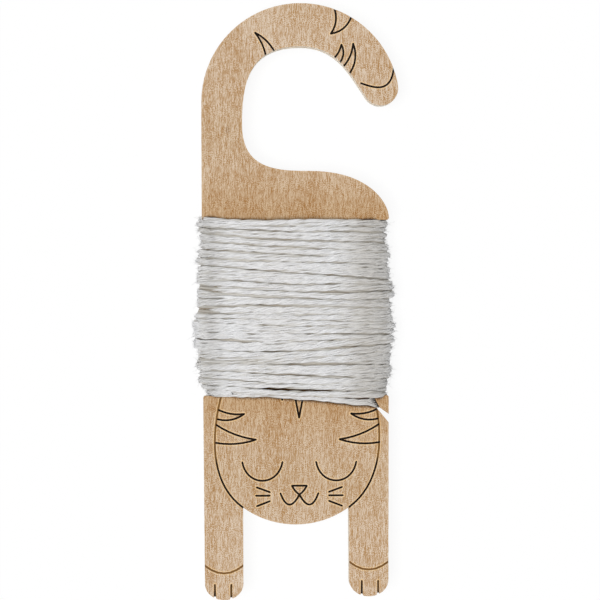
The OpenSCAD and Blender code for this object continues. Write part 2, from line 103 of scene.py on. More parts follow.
class Nodes:
    """A material's or the world's node tree, with one short call for each kind of step."""

    def __init__(self, owner):
        owner.use_nodes = True
        self.tree = owner.node_tree
        self.tree.nodes.clear()

    def add(self, kind, inputs, **settings):
        made = self.tree.nodes.new("ShaderNode" + kind)
        for name, value in settings.items():
            setattr(made, name, value)
        for socket, value in inputs.items():
            if isinstance(value, bpy.types.NodeSocket):
                self.tree.links.new(value, made.inputs[socket])
            else:
                made.inputs[socket].default_value = value
        return made

    def math(self, operation, a, b=0.0, clamp=False):
        return self.add("Math", {0: a, 1: b}, operation=operation, use_clamp=clamp).outputs[0]

    def plus(self, a, b):
        return self.math("ADD", a, b)

    def minus(self, a, b):
        return self.math("SUBTRACT", a, b)

    def times(self, a, b):
        return self.math("MULTIPLY", a, b)

    def step(self, value, low, high):
        """0 below low, 1 above high, and smooth between them; low may be the larger of the two."""
        return self.add("MapRange", {"Value": value, "From Min": low, "From Max": high},
                        interpolation_type="SMOOTHSTEP").outputs[0]

    def mix(self, factor, a, b, blend="MIX"):
        return self.add("Mix", {0: factor, 6: a, 7: b}, data_type="RGBA",
                        blend_type=blend).outputs[2]

    def ramp(self, value, stops):
        """A colour ramp through (position, colour) stops, whose positions lie between 0 and 1."""
        made = self.add("ValToRGB", {"Fac": value})
        ramp = made.color_ramp
        while len(ramp.elements) < len(stops):
            ramp.elements.new(0.5)
        for element, (position, colour) in zip(ramp.elements, stops):
            element.position, element.color = position, colour
        return made.outputs[0]

    def scale(self, value, stops):
        """A colour ramp whose (place, colour) stops have any places, in the value's own unit."""
        low, high = stops[0][0], stops[-1][0]
        part = self.add("MapRange", {"Value": value, "From Min": low, "From Max": high}).outputs[0]
        return self.ramp(part, [((place - low) / (high - low), colour) for place, colour in stops])

    def xyz(self, vector):
        return self.add("SeparateXYZ", {0: vector}).outputs

    def place_mm(self):
        """The point's place in the object, in millimetres."""
        spot = self.add("TexCoord", {}).outputs["Object"]
        return self.add("VectorMath", {0: spot, "Scale": 1 / MM}, operation="SCALE").outputs[0]

    def normal(self):
        """The direction that the face itself looks in, without smoothing."""
        return self.add("NewGeometry", {}).outputs["True Normal"]

    def openness(self, reach, samples=8, inside=False):
        """How open it is round the point within a reach in mm, from 0 for closed in to 1."""
        return self.add("AmbientOcclusion", {"Distance": reach * MM}, samples=samples,
                        inside=inside).outputs["AO"]

    def noise(self, where, size, detail=2.0, rough=0.5, seed=0.0):
        """Cloudy noise whose cells are size = (x, y, z) of where's units, between 0 and 1."""
        scaled = self.add("Mapping", {"Vector": where, "Location": (seed, seed / 2, seed / 3),
                                      "Scale": [1 / s for s in size]}).outputs[0]
        return self.add("TexNoise", {"Vector": scaled, "Scale": 1.0, "Detail": detail,
                                     "Roughness": rough}).outputs[0]

    def bump(self, height, strength, distance):
        """The normal of a surface with such a relief; distance is its full height, in mm."""
        return self.add("Bump", {"Height": height, "Strength": strength,
                                 "Distance": distance * MM}).outputs[0]

    def surface(self, **sockets):
        """The Principled shader that ends a material."""
        shader = self.add("BsdfPrincipled", {k.replace("_", " "): v for k, v in sockets.items()})
        self.add("OutputMaterial", {"Surface": shader.outputs[0]})


# Dry birch's dark, middle and light tones on the faces, by the sum of the grain's layers
BIRCH_TONES = ((0.1, rgb(172, 130, 80)), (0.5, rgb(203, 175, 144)), (0.9, rgb(224, 207, 187)))
# Those layers, from fine to coarse: each one's cell, mm, where the grain runs along y, its detail,
# roughness and seed, and its share in the tone
GRAIN = {
    "grit": ((0.07, 0.14, 0.2), 0, 0.5, 1, 2.4),
    "pores": ((0.075, 0.75, 0.3), 1, 0.6, 5, 2.6),
    "streaks": ((0.2, 3.5, 0.8), 2, 0.5, 11, 0.6),
    "bands": ((1.6, 22, 3), 1.5, 0.5, 23, 0.5),
    "patches": ((5, 9, 6), 2, 0.5, 37, 0.4),
}
# The roughness between the pores and what they add to it, their and the streaks' part in the relief,
# and the relief's strength and height, mm
BIRCH_ROUGH, PORES_ROUGH = 0.5, 0.18
PORES_RELIEF, STREAKS_RELIEF = 0.7, 0.3
RELIEF_STRENGTH, RELIEF = 0.3, 0.03
# The cut walls' dark and light tones, pale birch with painted light that makes them near white, and the
# cell, mm, and range of the fine upright lines in them
WALL_TONES = {"front": (rgb(250, 241, 226), rgb(255, 253, 248)),
              "core": (rgb(230, 210, 182), rgb(246, 233, 213)),
              "back": (rgb(240, 226, 206), rgb(251, 244, 231))}
WALL_LINES = (0.14, 0.14, 3)
WALL_RANGE = (0.3, 0.7)
WALL_SEED = 5
# A surface is a face where its normal's height is above the first of these, a wall below the second
FACE_LEVEL, WALL_LEVEL = 0.6, 0.4
# The faces are browner towards the floss and dark under it, where the dark is painted shade: the tint
# by the distance from the waist, mm
TINT_AND_SHADE_BY_WAIST = ((-0.15, rgb(120, 96, 70)), (0.1, rgb(234, 221, 200)), (1.2, rgb(234, 221, 200)),
        (4.5, rgb(243, 236, 225)), (7, rgb(246, 242, 236)), (11, rgb(246, 243, 237)),
        (18, rgb(251, 250, 249)))
# A small dark fleck in the stem: its place and half sizes, mm, its colour and strength, where it
# fades, as the squared distance, which is 1 at its edge, and the streaks that it follows
FLECK = (-9.05, 23.0)
FLECK_SIZE = (0.3, 0.75)
FLECK_BROWN, FLECK_STRENGTH = rgb(128, 92, 58), 0.55
FLECK_EDGE = (1.0, 0.2)
FLECK_STREAKS = (0.35, 0.6)

# Scored lines: brown where they are shallow, black where they are deep, mm
SCORCH_BROWN, CHAR = rgb(128, 92, 48), rgb(18, 10, 3)
SHALLOW, DEEP = 0.1, 0.16
# They are burnt unevenly, as if their depth varied by this much in waves of this size, mm
HEAT_SWING, HEAT_WAVE, HEAT_SEED = 0.1, 1.3, 3
# The lower part of the head's outline is burnt as if it were deeper by this, mm, and the toes' lines
# as if they were shallower. Each pair is the heights where that isn't so yet and where it fully is
HOTTER_FROM, HOTTER_TO, HOTTER = (-19, -23), (-31, -29.5), 0.07
COOLER_FROM, COOLER = (-36, -37), -0.06
# A wall is a line's where another wall is this close, mm, which leaves it closed in to this degree,
# and a floor is a line's where it lies this far below the face, mm
LINE_REACH, LINE_CLOSED = 0.4, (0.85, 0.6)
LINE_FLOOR = (0.02, 0.05)
# The pale scorch beside a line: its colour, its reach, mm, the samples that look for it, and how much
# an edge rounded over that reach tilts where it shows. It needs wood inside: how far, mm, with how
# many samples that is looked for, and how much
SCORCH_PALE = rgb(255, 216, 158)
SCORCH_REACH, SCORCH_SAMPLES = 0.34, 6
SCORCH_TILT = (0, 0.08)
WOOD_REACH, WOOD_SAMPLES = 0.8, 16
WOOD_WITHIN = (0.55, 0.7)
# Painted shade on the face where the floss lies close over it: how close, mm, and how closed in that is
PAINTED_CONTACT_SHADE = rgb(72, 50, 28)
CONTACT_SHADE_REACH, CONTACT_SHADE_CLOSED = 0.75, (0.9, 0.6)


def birch(name, walls, grain="y", engraved=False):
    """Birch veneer whose grain runs along x or y; walls are the tones of its cut edges."""
    nodes = Nodes(material := bpy.data.materials.new(name))
    spot = nodes.place_mm()
    turn = (0, 0, math.pi / 2 if grain == "x" else 0)
    along = nodes.add("Mapping", {"Vector": spot, "Rotation": turn}).outputs[0]
    layers = {layer: nodes.noise(along, *look) for layer, (*look, _) in GRAIN.items()}
    tone = 0.5
    for layer, (*_, share) in GRAIN.items():
        tone = nodes.plus(tone, nodes.times(nodes.minus(layers[layer], 0.5), share))
    tone = nodes.math("ADD", tone, 0.0, clamp=True)
    pores, streaks = layers["pores"], layers["streaks"]
    # The faces get browner towards the floss, with painted shade under it
    colour = nodes.mix(1.0, nodes.ramp(tone, BIRCH_TONES), tint_and_shade_by_waist(nodes, spot), "MULTIPLY")
    if engraved:
        colour = flecked(nodes, spot, colour, streaks)
    facing = nodes.math("ABSOLUTE", nodes.xyz(nodes.normal())[2])
    wall = nodes.step(facing, FACE_LEVEL, WALL_LEVEL)
    lines = nodes.noise(spot, WALL_LINES, detail=1, seed=WALL_SEED)
    # The walls' tones carry painted light
    colour = nodes.mix(wall, colour, nodes.ramp(lines, list(zip(WALL_RANGE, walls))))
    if engraved:
        colour = scored(nodes, spot, colour, wall)
    rough = nodes.plus(nodes.times(pores, PORES_ROUGH), BIRCH_ROUGH)
    relief = nodes.plus(nodes.times(pores, PORES_RELIEF), nodes.times(streaks, STREAKS_RELIEF))
    nodes.surface(Base_Color=colour, Roughness=rough, Specular_IOR_Level=0.05,
                  Normal=nodes.bump(relief, RELIEF_STRENGTH, RELIEF))
    return material


def tint_and_shade_by_waist(nodes, spot):
    """The faces' tint by the distance from the waist: browner towards the floss, with painted shade
    under it.
    """
    middle, half = (WAIST_HIGH + WAIST_LOW) / 2, (WAIST_HIGH - WAIST_LOW) / 2
    distance = nodes.minus(nodes.math("ABSOLUTE", nodes.minus(nodes.xyz(spot)[1], middle)), half)
    return nodes.scale(distance, TINT_AND_SHADE_BY_WAIST)


def flecked(nodes, spot, colour, streaks):
    """The face with the dark fleck in it."""
    place = nodes.xyz(spot)
    reach = [nodes.math("DIVIDE", nodes.minus(place[i], FLECK[i]), FLECK_SIZE[i]) for i in (0, 1)]
    far = nodes.plus(*(nodes.times(r, r) for r in reach))
    mark = nodes.times(nodes.step(far, *FLECK_EDGE), nodes.step(streaks, *FLECK_STREAKS))
    return nodes.mix(nodes.times(mark, FLECK_STRENGTH), colour, FLECK_BROWN)


def scored(nodes, spot, colour, wall):
    """The face with its scored lines, burnt by their depth, pale scorch beside them, and painted shade
    under the floss.
    """
    face = nodes.minus(1.0, wall)
    place = nodes.xyz(spot)
    depth, height = nodes.minus(FACE_Z, place[2]), place[1]
    heat = nodes.noise(spot, [HEAT_WAVE] * 3, detail=1, seed=HEAT_SEED)
    hotter = nodes.times(nodes.step(height, *HOTTER_FROM), nodes.step(height, *HOTTER_TO))
    cooler = nodes.step(height, *COOLER_FROM)
    burnt_depth = depth
    for part, change in ((nodes.minus(heat, 0.5), HEAT_SWING), (hotter, HOTTER), (cooler, COOLER)):
        burnt_depth = nodes.plus(burnt_depth, nodes.times(part, change))
    burnt = nodes.mix(nodes.step(burnt_depth, SHALLOW, DEEP), SCORCH_BROWN, CHAR)
    line_wall = nodes.times(wall, nodes.step(nodes.openness(LINE_REACH), *LINE_CLOSED))
    line_floor = nodes.times(face, nodes.step(depth, *LINE_FLOOR))

    rounded = nodes.add("Bevel", {"Radius": SCORCH_REACH * MM}, samples=SCORCH_SAMPLES).outputs[0]
    alike = nodes.add("VectorMath", {0: rounded, 1: nodes.normal()}, operation="DOT_PRODUCT")
    tilt = nodes.minus(1.0, alike.outputs["Value"])
    pale = nodes.times(nodes.step(tilt, *SCORCH_TILT), face)
    # The plate's outer edges have no wood on one side, and no scorch
    wood = nodes.openness(WOOD_REACH, WOOD_SAMPLES, inside=True)
    pale = nodes.times(pale, nodes.step(wood, *WOOD_WITHIN))
    colour = nodes.mix(pale, colour, SCORCH_PALE)
    # Painted shade on the face where the floss lies close over it
    contact_shaded = nodes.times(nodes.step(nodes.openness(CONTACT_SHADE_REACH), *CONTACT_SHADE_CLOSED), face)
    colour = nodes.mix(contact_shaded, colour, PAINTED_CONTACT_SHADE, "MULTIPLY")
    return nodes.mix(nodes.math("MAXIMUM", line_wall, line_floor), colour, burnt)


# White cotton: its shaded and its lit fibres, by the fibres' tone
COTTON = ((0.3, rgb(196, 196, 197)), (0.65, rgb(246, 246, 247)))
# Painted shade between the strands and deeper between the turns: its colours, and the depths that
# they come on over, mm
COTTON_SHADE, SHADE_DEPTH = rgb(198, 195, 189), (0.12, 0.4)
COTTON_DEEP_SHADE, DEEP_DEPTH = rgb(138, 120, 92), (0.38, 0.75)
# The floss has painted shade where it bends towards the edges, lifted again at its outermost rims:
# the tint by place across, mm
PAINTED_BEND_SHADE = ((-13.5, rgb(255, 255, 255)), (-12.6, rgb(244, 243, 241)), (-11.4, rgb(231, 230, 228)),
          (-8.8, rgb(255, 255, 255)), (-3, rgb(251, 250, 249)), (5, rgb(255, 255, 255)),
          (9.2, rgb(230, 227, 222)), (12, rgb(236, 234, 230)), (13, rgb(255, 255, 254)))
# The fibres' helix: its turn in radians a millimetre, and its radius in the noise's units
FIBRES_TWIST = 2.6
FIBRES_ROUND = 1.1
# Fibres and the tufts that they lie in: the noise's cell, detail, roughness and seed, and the share;
# and the strength and height, mm, of their relief
FIBRES = ((0.9, 0.9, 1.4), 2.5, 0.7, 0, 0.7)
TUFTS = ((1.6, 1.6, 5), 1, 0.5, 7, 0.3)
FIBRES_STRENGTH, FIBRES_RELIEF = 0.9, 0.1


def cotton(name):
    """Mercerised cotton, whose fibres run round each strand in a slow helix."""
    nodes = Nodes(material := bpy.data.materials.new(name))
    place = nodes.xyz(nodes.add("UVMap", {}, uv_map="strand").outputs[0])
    around, along = place[0], place[1]
    angle = nodes.plus(nodes.times(around, math.tau), nodes.times(along, FIBRES_TWIST))
    ring = [nodes.times(nodes.math(wave, angle), FIBRES_ROUND) for wave in ("COSINE", "SINE")]
    helix = nodes.add("CombineXYZ", {0: ring[0], 1: ring[1], 2: along}).outputs[0]
    tone = nodes.plus(*(nodes.times(nodes.noise(helix, *look), share)
                        for *look, share in (FIBRES, TUFTS)))
    colour = nodes.ramp(tone, COTTON)
    depth = nodes.add("Attribute", {}, attribute_name="depth").outputs["Fac"]
    # Painted shade by the depth below the thread's top
    colour = nodes.mix(nodes.step(depth, *SHADE_DEPTH), colour, COTTON_SHADE)
    colour = nodes.mix(nodes.step(depth, *DEEP_DEPTH), colour, COTTON_DEEP_SHADE)
    # Painted shade where the floss bends towards the edges
    bend_shade = nodes.scale(nodes.xyz(nodes.place_mm())[0], PAINTED_BEND_SHADE)
    colour = nodes.mix(1.0, colour, bend_shade, "MULTIPLY")
    nodes.surface(Base_Color=colour, Roughness=0.62, Specular_IOR_Level=0.3,
                  Sheen_Weight=0.25, Sheen_Roughness=0.45,
                  Normal=nodes.bump(tone, FIBRES_STRENGTH, FIBRES_RELIEF))
    return material


# ---- The winding's surface ----
# The oval bend of the winding's outer surface round the plate's edges: how far down it reaches, and
# by height how far in at the left and at the right, which is less over three of the waist's four
# corners; and the winding's sideways centre
BEND_DOWN = 3.4
BEND_LEFT = ((-12.4, 3), (-11.6, 5.2), (9.6, 5.2), (10.8, 3.8))
BEND_RIGHT = ((-12.6, 2.6), (-11.8, 6.6))
WOUND_X = -0.25
# How far the front and back surfaces fall towards the two shoulders, by height
FALL = ((-13, 0.3), (-11.4, 0.15), (-9.5, 0), (9, 0), (10.9, 0.1))
# The front is fuller by this in the middle than at its two sides
CROWN = 0.6
# The half width at which the loop's length is measured
LOOP_REACH = 13.2


def unit(vectors):
    """Vectors of length 1 in the same directions."""
    return vectors / np.linalg.norm(vectors, axis=-1, keepdims=True)


def read_off(pairs, values):
    """Values read off straight lines through (place, amount) pairs."""
    places, amounts = np.array(pairs).T
    return np.interp(values, places, amounts)


def loop_places(reach):
    """Where the corners of one loop of the winding lie on it, in mm from the middle of its left side."""
    rise, left, right = WOUND_TOP - MID_Z - BEND_DOWN, BEND_LEFT[-1][1], BEND_RIGHT[-1][1]
    across = 2 * reach - left - right
    # The bends count as they are at the top. A quarter of an ellipse is about as long as a quarter of
    # a circle whose radius is the root mean square of its half sizes
    left, right = (math.hypot(bend, BEND_DOWN) / math.sqrt(2) * math.pi / 2 for bend in (left, right))
    return np.cumsum([0, rise, left, across, right, 2 * rise, right, across, left, rise])


LOOP = loop_places(LOOP_REACH)
LOOP_LENGTH = LOOP[-1]
# For each of those corners: side, level and facing angle of the surface there
LOOP_SIDE = (-1, -1, -1, 1, 1, 1, 1, -1, -1, -1)
LOOP_LEVEL = (0, 1, 1, 1, 1, -1, -1, -1, -1, 0)
LOOP_FACING = np.radians((180, 180, 90, 90, 0, 0, -90, -90, -180, -180))


def surface_at(run, heights, reach):
    """Points on the winding's outer surface and the directions out of it there.

    run is how far round, in loops from the middle of the left side over the front, and reach is
    the winding's half width."""
    place = (run % 1) * LOOP_LENGTH
    side = np.interp(place, LOOP, LOOP_SIDE)
    level = np.interp(place, LOOP, LOOP_LEVEL)
    facing = np.interp(place, LOOP, LOOP_FACING)
    half_high = WOUND_TOP - MID_Z - read_off(FALL, heights) - CROWN * side ** 2 * (level > 0)
    left, right = read_off(BEND_LEFT, heights), read_off(BEND_RIGHT, heights)
    bend = np.where(np.cos(facing) < 0, left, right)
    x = WOUND_X + side * reach + ((1 - side) * left - (1 + side) * right) / 2 + bend * np.cos(facing)
    z = MID_Z + level * (half_high - BEND_DOWN) + BEND_DOWN * np.sin(facing)
    out = unit(np.stack([np.cos(facing) / bend, 0 * facing, np.sin(facing) / BEND_DOWN], 1))
    return np.stack([x, heights, z], 1), out


def run_at(places, samples=400):
    """How far round the loop each of the front's places across lies, in loops."""
    runs = np.linspace(0, 0.5, samples)
    surface, _ = surface_at(runs, 0 * runs, LOOP_REACH)
    return np.interp(places, surface[:, 0], runs)


def smooth_through(knots, values, at):
    """A smooth curve through values at the knots (cubic Hermite), read at the given places."""
    knots, values = np.asarray(knots, float), np.asarray(values, float)
    slope = np.gradient(values, knots, axis=0)
    i = np.clip(np.searchsorted(knots, at) - 1, 0, len(knots) - 2)
    gap = knots[i + 1] - knots[i]
    t = (at - knots[i]) / gap
    if values.ndim > 1:
        t, gap = t[:, None], gap[:, None]
    return ((2 * t ** 3 - 3 * t ** 2 + 1) * values[i] + (t ** 3 - 2 * t ** 2 + t) * gap * slope[i]
            + (3 * t ** 2 - 2 * t ** 3) * values[i + 1] + (t ** 3 - t ** 2) * gap * slope[i + 1])


# A random wave is the sum of three sine waves: their shares, which are also the ratios of their
# lengths, and what the sum is divided by
WAVE_SHARES = (1.0, 0.55, 0.3)
WAVE_SUM = 1.2


def wander(rng, run, size, length):
    """A slow random wave along the thread: size is its swing and length its usual wave length."""
    total = np.zeros_like(run)
    for share in WAVE_SHARES:
        total += share * np.sin(run * math.tau / (length * share) + rng.uniform(0, math.tau))
    return total * size / WAVE_SUM


# ---- The outer layer ----
# Turn by turn from the upper shoulder down: how far the turn stands out at the left, the height of
# its middle at each of five places across the front, and how far it stands out at the right. From
# there each turn goes round the back to the left end of the next. They follow the photograph.
ACROSS = (-12, -6, 0, 6, 12)
TURNS = (
    (12.85, 10.9, 10.5, 10.45, 10.5, 10.45, 12.8),
    (13, 10.25, 9.95, 9.75, 9.8, 9.6, 12.7),
    (13.1, 9.6, 9.25, 9, 8.9, 8.85, 12.65),
    (12.95, 9.4, 8.9, 8.6, 8.45, 8.3, 12.65),
    (12.6, 8.5, 8, 7.7, 7.45, 7.2, 12.85),
    (12.75, 7.5, 7, 6.7, 6.45, 6.25, 13.05),
    (12.9, 6.4, 6, 5.8, 5.65, 5.4, 12.85),
    (13.35, 5.45, 5.1, 4.9, 4.6, 4.2, 12.9),
    (13.3, 5.2, 4.8, 4.4, 3.95, 3.35, 13.1),
    (12.95, 4.3, 3.7, 3.3, 2.9, 2.5, 13.45),
    (13.15, 3.5, 3.1, 2.8, 2.6, 2.4, 13.5),
    (13.1, 2.75, 2.2, 1.8, 1.8, 1.8, 13.55),
    (12.35, 1.75, 1.2, 0.9, 0.7, 0.9, 13.55),
    (12.95, 0.9, 0.4, 0.2, 0, -0.1, 13.1),
    (13, -0.1, 0, -0.1, -0.3, -0.4, 13.2),
    (12.4, -1.1, -1.2, -1.2, -1.3, -1.4, 13.25),
    (13.15, -1.9, -2, -2.1, -2.2, -2.3, 13.45),
    (13.35, -2.55, -2.7, -2.85, -3, -3.2, 13.7),
    (13.6, -3.15, -3.5, -3.75, -3.9, -4, 13.7),
    (13.5, -4.3, -4.6, -4.75, -4.8, -4.8, 13.4),
    (13.55, -5.7, -5.9, -5.85, -5.6, -5.3, 13.65),
    (12.95, -6.95, -7.25, -7.2, -6.75, -6.3, 13.2),
    (12.8, -7.65, -7.9, -7.75, -7.45, -7.05, 13.05),
    (13.2, -8, -8.15, -8.05, -7.9, -7.9, 13.05),
    (13.5, -8.45, -8.6, -8.75, -8.95, -9.05, 13.1),
    (13.3, -8.8, -9, -9.3, -9.6, -9.85, 13.15),
    (12.75, -9.75, -10.15, -10.45, -10.7, -10.85, 12.65),
    (13.1, -10.65, -11.1, -11.3, -11.55, -11.75, 12.65),
    (12.4, -11.5, -12, -12.35, -12.5, -12.55, 12.7),
)
# The layer starts this many loops before its first turn, buried by this much, mm, and runs on past
# its last turn by this many loops
LEAD_IN, LEAD_SUNK = 0.3, 0.7
RUN_ON = 0.1
# Slow random waves in the turns' height, mm, in how hard they are pressed, and in how far they stand
# out, mm: each one's swing, and its length in loops
HEIGHT_WAVE, PRESS_WAVE, STAND_OUT_WAVE = (0.05, 0.7), (0.09, 0.9), (0.12, 1.7)

# A turn's cross-section, mm: half width and half height where it has room, and their limits
HALF_WIDE, HALF_HIGH = 0.47, 0.5
WIDEST, NARROWEST, HIGHEST = 0.75, 0.33, 0.56
# A turn's width as a share of its room, above 1 because neighbours press into each other: on the
# flat, and round the edges, where it is wider and flatter; and how far the second holds, by place
# across
PRESS, PRESS_ROUND = 1.1, 1.22
AT_EDGES = ((-12, 1), (-8.5, 0), (5, 0), (9.5, 1))
# From this turn on, counted from 0, they are drawn round and leave a slot between them, down to the
# wood: their half widths by place across, and the part of a loop over which that comes on
ROUND_FROM = 27
ROUND_HALF_WIDE = ((-6, 0.5), (-3.5, 0.46), (-0.5, 0.42), (3, 0.46), (6, 0.5), (10, 0.52))
ROUND_OVER = 0.3
# A turn with less room than the first of these, mm, sinks by the second for each millimetre that it
# lacks, of which no more than the third counts
SINK_BELOW, SINK_RATE, LACKS_MOST = 0.33, 1.3, 0.3

# ---- The end ----
# Where it comes over the left edge, as half width and height, its way across the front to the kerf,
# the kerf's middle and direction, how far to the right of that it goes in and comes out, and its
# loose end behind the plate
END_START = (11.9, -12.15)
END_FRONT = (
    (-11.2, -12.2, 6.2), (-7.8, -12.35, 6), (-4.4, -12.35, 5.88), (-0.1, -12.7, 5.78),
    (4.5, -13.1, 5.74), (8.0, -13.5, 5.7), (9.3, -13.56, 5.68), (10.1, -13.6, 5.6),
)
KERF = (10.6, -13.57)
KERF_DIRECTION = (-0.48, 0.88)
KERF_IN, KERF_OUT = -0.1, 0.06
LOOSE_END = ((10.2, -14.2, 1.95), (8.9, -15.4, 1.85), (7.4, -16.8, 1.8), (6.2, -17.9, 1.85))
END_HALF_WIDE, END_HALF_HIGH = 0.48, 0.36
# Its strands fan out along this half length of kerf, drawn down to this share of their thickness.
# They part from this place across on, over the second length, mm, and are together again this far
# behind the plate
FAN = 0.7
DRAWN_THIN = 0.45
FAN_FROM, FAN_OVER, GATHERED = 9.2, 1.2, 0.9
# Down to this far below the face they show white, with less painted shade as if they lay higher by
# the second, and below that they take the painted shade of their depth, up to the third, mm
KERF_SHOWN, KERF_LIT, KERF_SHADED = 0.3, 0.3, 0.8

# ---- Strands and plies ----
STRANDS = 6
STRAND_R = 0.25
# How far apart the points of a thread lie
STEP = 0.33
# In a thread of more strands than this the last one runs inside the others, at this share of their
# distance from the middle
RING_MOST, INNER_REACH = 4, 0.15
# Random waves in a strand's angle, radians, and reach, and in a strand's size and its plies' angle:
# each one's swing, and its length in mm
ANGLE_WAVE, REACH_WAVE = (0.35, 45), (0.08, 23)
SIZE_WAVE, PLY_WAVE = (0.08, 9), (0.8, 14)
# Each strand is two plies: their radius and how far each lies from the strand's middle
PLY_R, PLY_APART = 0.14, 0.1
PLY_SIDES = 7
# The lengths in which the strands and the plies wind once about each other; below zero is to the left
TWIST_PITCH, PLY_PITCH = -32, -5.2
# How far apart two neighbouring strands lie in the fibres' noise, so that they don't look alike, mm
FIBRES_APART = 400
# How far a tube's two tips stand past its end rings, in radii, and the least height of any floss, mm
BLUNT = 0.6
LEAST_Z = 0.01


class Thread:
    """A thread's middle line, the directions out of and across it, and its half sizes, in mm.

    sunk is how far it lies below the winding's surface, which deepens its strands' painted shade, and
    fan how far its strands have parted for the kerf, from 0 to 1."""

    def __init__(self, points, out, wide, high, strand_r, sunk, fan):
        self.points, self.wide, self.high, self.strand_r, self.fan = points, wide, high, strand_r, fan
        self.ahead = unit(np.gradient(points, axis=0))
        self.out = unit(out - np.sum(out * self.ahead, 1, keepdims=True) * self.ahead)
        self.across = np.cross(self.out, self.ahead)
        steps = np.linalg.norm(np.diff(points, axis=0), axis=1)
        self.run = np.concatenate([[0], np.cumsum(steps)])
        self.top = points + self.out * (high + sunk)[:, None]


def turn_course(run):
    """Heights and half widths of the winding's outer layer at each place, run in loops."""
    stations = run_at(ACROSS)
    turns = [*TURNS, (END_START[0], *[END_START[1]] * len(ACROSS), TURNS[-1][-1])]
    knots = [k + s for k in range(len(turns)) for s in stations]
    heights = smooth_through(knots, [y for turn in turns for y in turn[1:-1]], run)
    sides = [k + s for k in range(len(turns)) for s in (0, 0.5)]
    reach = smooth_through(sides, [x for turn in turns for x in (turn[0], turn[-1])], run)
    return heights, reach


def room_beside(heights, per_loop):
    """Half the distance from each place to the turns above and below it: the mean, and the larger."""
    above = np.concatenate([heights[:per_loop] + 2 * HALF_WIDE, heights[:-per_loop]]) - heights
    below = heights - np.concatenate([heights[per_loop:], heights[-per_loop:] - 2 * HALF_WIDE])
    return np.maximum(above + below, 0) / 4, np.maximum(above, below) / 2


def outer_turns(rng):
    """The outer layer's points, directions out, half widths, half heights and depths."""
    per_loop = round(LOOP_LENGTH / STEP)
    first, last = -LEAD_IN, len(TURNS) + RUN_ON
    run = np.arange(round(first * per_loop), round(last * per_loop)) / per_loop
    heights, reach = turn_course(np.maximum(run, 0.0))
    heights = heights + wander(rng, run, *HEIGHT_WAVE)
    room, widest_room = room_beside(heights, per_loop)
    surface, out = surface_at(run, heights, reach)
    at_edges = read_off(AT_EDGES, surface[:, 0])
    press = PRESS + wander(rng, run, *PRESS_WAVE) + (PRESS_ROUND - PRESS) * at_edges
    wide = np.clip((room + widest_room) / 2 * press, NARROWEST, WIDEST)
    drawn = np.clip((run - ROUND_FROM + ROUND_OVER) / ROUND_OVER, 0, 1)
    wide = wide * (1 - drawn) + read_off(ROUND_HALF_WIDE, surface[:, 0]) * drawn
    high = np.clip(HALF_WIDE * HALF_HIGH / wide, 0, HIGHEST)
    sunk = (np.clip(SINK_BELOW - room, 0, LACKS_MOST) * SINK_RATE
            + np.clip(-run / LEAD_IN, 0, 1) * LEAD_SUNK)
    lift = wander(rng, run, *STAND_OUT_WAVE) - sunk
    return surface - out * (high - lift)[:, None], out, wide, high, sunk


def end_course(start):
    """The end's points from the last turn on, directions out, depths and how far it has fanned out."""
    aside = np.array([KERF_DIRECTION[1], -KERF_DIRECTION[0]])
    way_in, way_out = KERF + KERF_IN * aside, KERF + KERF_OUT * aside
    through = [(*way_in, FACE_Z), (*way_out, MID_Z), (*way_out, BACK_Z)]
    route = np.concatenate([[start], np.array([*END_FRONT, *through, *LOOSE_END])])
    knots = np.concatenate([[0], np.cumsum(np.linalg.norm(np.diff(route, axis=0), axis=1))])
    points = smooth_through(knots, route, np.arange(STEP, knots[-1], STEP))
    x, z = points[:, 0], points[:, 2]
    fan = (np.clip((x - FAN_FROM) / FAN_OVER, 0, 1)
           * np.clip((z - BACK_Z + GATHERED) / GATHERED, 0, 1))
    out = np.array([0, 0, 1.0]) * (1 - fan[:, None])
    out[:, :2] += fan[:, None] * aside
    out[z < BACK_Z] = (0, 0, -1)
    # Less painted shade near the face, more deeper in the kerf
    below = FACE_Z - KERF_SHOWN - z
    sunk = np.where(below > 0, np.clip(below, 0, KERF_SHADED) * (z > BACK_Z), -KERF_LIT * fan)
    return points, out, sunk, fan


def outer_thread(rng):
    """The outer layer and the end that leaves it, as one thread."""
    turns, turns_out, wide, high, turns_sunk = outer_turns(rng)
    end, end_out, end_sunk, end_fan = end_course(turns[-1])
    size, none = np.ones(len(end)), np.zeros(len(turns))
    fan = np.concatenate([none, end_fan])
    return Thread(np.concatenate([turns, end]), np.concatenate([turns_out, end_out]),
                  np.concatenate([wide, END_HALF_WIDE * size]),
                  np.concatenate([high, END_HALF_HIGH * size]),
                  (1 - (1 - DRAWN_THIN) * fan) * STRAND_R,
                  np.concatenate([turns_sunk, end_sunk]), fan)


def strand_points(thread, index, count, rng, pitch):
    """The middle line of one strand, which winds slowly about the thread's own middle line."""
    cored = count > RING_MOST
    angle = (math.tau * index / (count - 1 if cored else count)
             + thread.run * math.tau / pitch + wander(rng, thread.run, *ANGLE_WAVE))
    inner = cored and index == count - 1
    reach = (INNER_REACH if inner else 1.0) + wander(rng, thread.run, *REACH_WAVE)
    wide = np.maximum(thread.wide - thread.strand_r, 0) * reach
    high = np.maximum(thread.high - thread.strand_r, 0) * reach
    apart = (thread.across * (wide * np.cos(angle))[:, None]
             + thread.out * (high * np.sin(angle))[:, None])
    fanned = FAN * (2 * index / (count - 1) - 1) * np.array([*KERF_DIRECTION, 0])
    return thread.points + apart * (1 - thread.fan[:, None]) + fanned * thread.fan[:, None]


